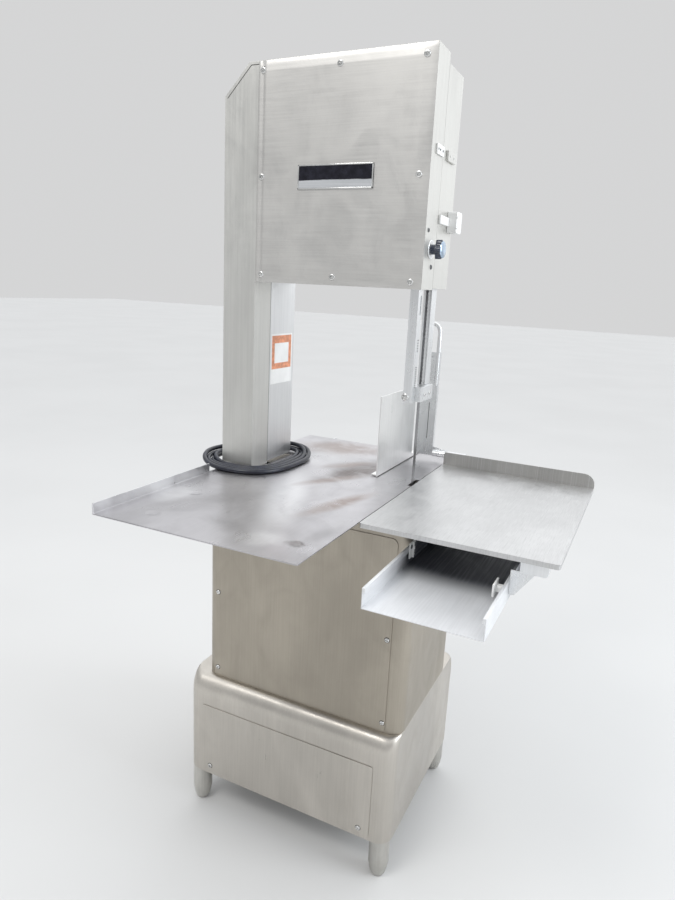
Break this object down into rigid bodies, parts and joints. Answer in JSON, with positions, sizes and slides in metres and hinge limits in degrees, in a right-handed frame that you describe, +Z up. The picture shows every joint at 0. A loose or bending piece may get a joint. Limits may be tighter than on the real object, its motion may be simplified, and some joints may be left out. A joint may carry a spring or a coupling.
{
  "type": "bone saw",
  "caption": "Floor-standing stainless meat and bone band saw with a sliding table, gauge plate, pusher, adjustable blade guide and hinged service doors.",
  "frame": {"origin": "on the floor, at the middle of the machine's footprint, leaving out the power cord, its coil and its plug", "axes": "+X from the column towards the moving table, +Y towards the operator's side where the doors open, +Z up"},
  "size_m": [0.8894, 0.9154, 1.782],
  "materials": {
    "steel": "brushed stainless sheet",
    "bright_steel": "bright polished stainless",
    "cast_metal": "light grey coating",
    "motor_housing": "light grey paint",
    "blade_steel": "dark tempered spring steel",
    "black_plastic": "moulded",
    "white_plastic": "machined plastic",
    "rubber": "matt",
    "nameplate_metal": "blank black plate",
    "green_plastic": "moulded",
    "red_plastic": "moulded"
  },
  "bodies": {
    "frame": {"lower_base": "steel", "base_front_panel": "steel", "leg_front_left": "steel", "leg_front_right": "steel", "leg_rear_left": "steel", "leg_rear_right": "steel", "cabinet_shell": "steel", "cabinet_front_panel": "steel", "wheel_bulkhead": "steel", "cabinet_door_hinge_pin": "bright_steel", "head_door_hinge_pin": "bright_steel", "upper_frame": "steel", "column_rear_cover": "steel", "head_front_cover": "steel", "nameplate": "nameplate_metal", "interlock_switch": "white_plastic", "stationary_table": "steel", "table_bed": "steel", "outer_rail": "bright_steel", "lower_bearing_housing": "cast_metal", "motor": "motor_housing", "motor_mount": "steel", "v_belt": "rubber", "blade": "blade_steel", "lower_blade_guide": "bright_steel", "guide_bar_clamp": "cast_metal", "wheel_scraper": "white_plastic", "tension_guides": "cast_metal", "gauge_rod": "bright_steel", "switch_box": "steel", "cord_gland": "black_plastic", "power_cord": "rubber", "cord_coil": "rubber", "power_plug": "black_plastic"},
    "sliding_table": {"moving_table": "steel", "carriage_left": "white_plastic", "carriage_right": "white_plastic", "pusher_bracket": "steel"},
    "pusher": {"pusher_plate": "bright_steel", "pusher_handle": "bright_steel"},
    "gauge": {"gauge_plate": "steel"},
    "gauge_lock": {"gauge_lock_knob": "black_plastic"},
    "upper_guide": {"guide_bar": "steel", "blade_guide_block": "bright_steel", "blade_guard": "bright_steel"},
    "guide_lock": {"guide_lock_knob": "black_plastic"},
    "upper_door": {"head_door": "steel", "interlock_magnet": "steel"},
    "upper_door_latch": {"head_latch": "white_plastic"},
    "lower_door": {"cabinet_door": "steel"},
    "lower_door_latch": {"cabinet_latch": "black_plastic"},
    "wheel_slide": {"tension_slide": "cast_metal"},
    "tension_screw": {"tension_knob": "black_plastic"},
    "idle_wheel": {"upper_wheel": "cast_metal"},
    "drive_wheel": {"lower_wheel": "cast_metal", "lower_axle": "bright_steel", "driven_pulley": "cast_metal"},
    "motor_shaft": {"motor_pulley": "cast_metal"},
    "start": {"start_button": "green_plastic"},
    "stop": {"stop_button": "red_plastic"}
  },
  "joints": [
    {"name": "table_slide", "type": "slide", "parent": "frame", "child": "sliding_table", "axis": [0, 1, 0], "range_m": [-0.2, 0.11]},
    {"name": "pusher_hinge", "type": "hinge", "parent": "sliding_table", "child": "pusher", "pos_m": [0.04075, 0.32025, 0.9245], "axis": [-1, 0, 0], "range_deg": [0, 88]},
    {"name": "gauge_slide", "type": "slide", "parent": "frame", "child": "gauge", "axis": [1, 0, 0], "range_m": [-0.15, 0.055]},
    {"name": "gauge_lock_turn", "type": "hinge", "parent": "gauge", "child": "gauge_lock", "pos_m": [-0.01925, 0.42775, 0.885], "axis": [0, 1, 0], "range_deg": [0, 180]},
    {"name": "guide_slide", "type": "slide", "parent": "frame", "child": "upper_guide", "axis": [0, 0, 1], "range_m": [-0.125, 0.195]},
    {"name": "guide_lock_turn", "type": "hinge", "parent": "frame", "child": "guide_lock", "pos_m": [0.09855, 0.01325, 1.417], "axis": [1, 0, 0], "range_deg": [0, 270]},
    {"name": "upper_door_hinge", "type": "hinge", "parent": "frame", "child": "upper_door", "pos_m": [-0.40125, 0.04725, 1.55], "axis": [0, 0, 1], "range_deg": [0, 110]},
    {"name": "upper_latch_turn", "type": "hinge", "parent": "upper_door", "child": "upper_door_latch", "pos_m": [0.08085, 0.12325, 1.4785], "axis": [-1, 0, 0], "range_deg": [0, 90]},
    {"name": "lower_door_hinge", "type": "hinge", "parent": "frame", "child": "lower_door", "pos_m": [-0.37025, 0.26385, 0.62], "axis": [0, 0, 1], "range_deg": [0, 115]},
    {"name": "lower_latch_turn", "type": "hinge", "parent": "lower_door", "child": "lower_door_latch", "pos_m": [0.07275, 0.27305, 0.62], "axis": [0, 1, 0], "range_deg": [0, 90]},
    {"name": "tension_knob_turn", "type": "hinge", "parent": "frame", "child": "tension_screw", "pos_m": [-0.14925, 0.01125, 1.7], "axis": [0, 0, 1], "range_deg": [-900, 0]},
    {"name": "wheel_tension_slide", "type": "slide", "parent": "frame", "child": "wheel_slide", "axis": [0, 0, 1], "range_m": [-0.005, 0]},
    {"name": "upper_wheel_spin", "type": "hinge", "parent": "wheel_slide", "child": "idle_wheel", "pos_m": [-0.14925, 0.08425, 1.5535], "axis": [0, 1, 0], "continuous": true},
    {"name": "lower_wheel_spin", "type": "hinge", "parent": "frame", "child": "drive_wheel", "pos_m": [-0.14925, 0.08425, 0.62], "axis": [0, 1, 0], "continuous": true},
    {"name": "motor_pulley_spin", "type": "hinge", "parent": "frame", "child": "motor_shaft", "pos_m": [-0.14925, -0.01275, 0.235], "axis": [0, 1, 0], "continuous": true},
    {"name": "start_press", "type": "slide", "parent": "frame", "child": "start", "axis": [0, -1, 0], "range_m": [0, 0.004], "stiffness_N_per_m": 300},
    {"name": "stop_press", "type": "slide", "parent": "frame", "child": "stop", "axis": [0, -1, 0], "range_m": [0, 0.004], "stiffness_N_per_m": 400}
  ],
  "couplings": [
    {"joint": "upper_wheel_spin", "follows": "lower_wheel_spin", "ratio": 1},
    {"joint": "motor_pulley_spin", "follows": "lower_wheel_spin", "ratio": 2.1222},
    {"joint": "tension_knob_turn", "follows": "wheel_tension_slide", "rad_per_m": 3141.5}
  ]
}
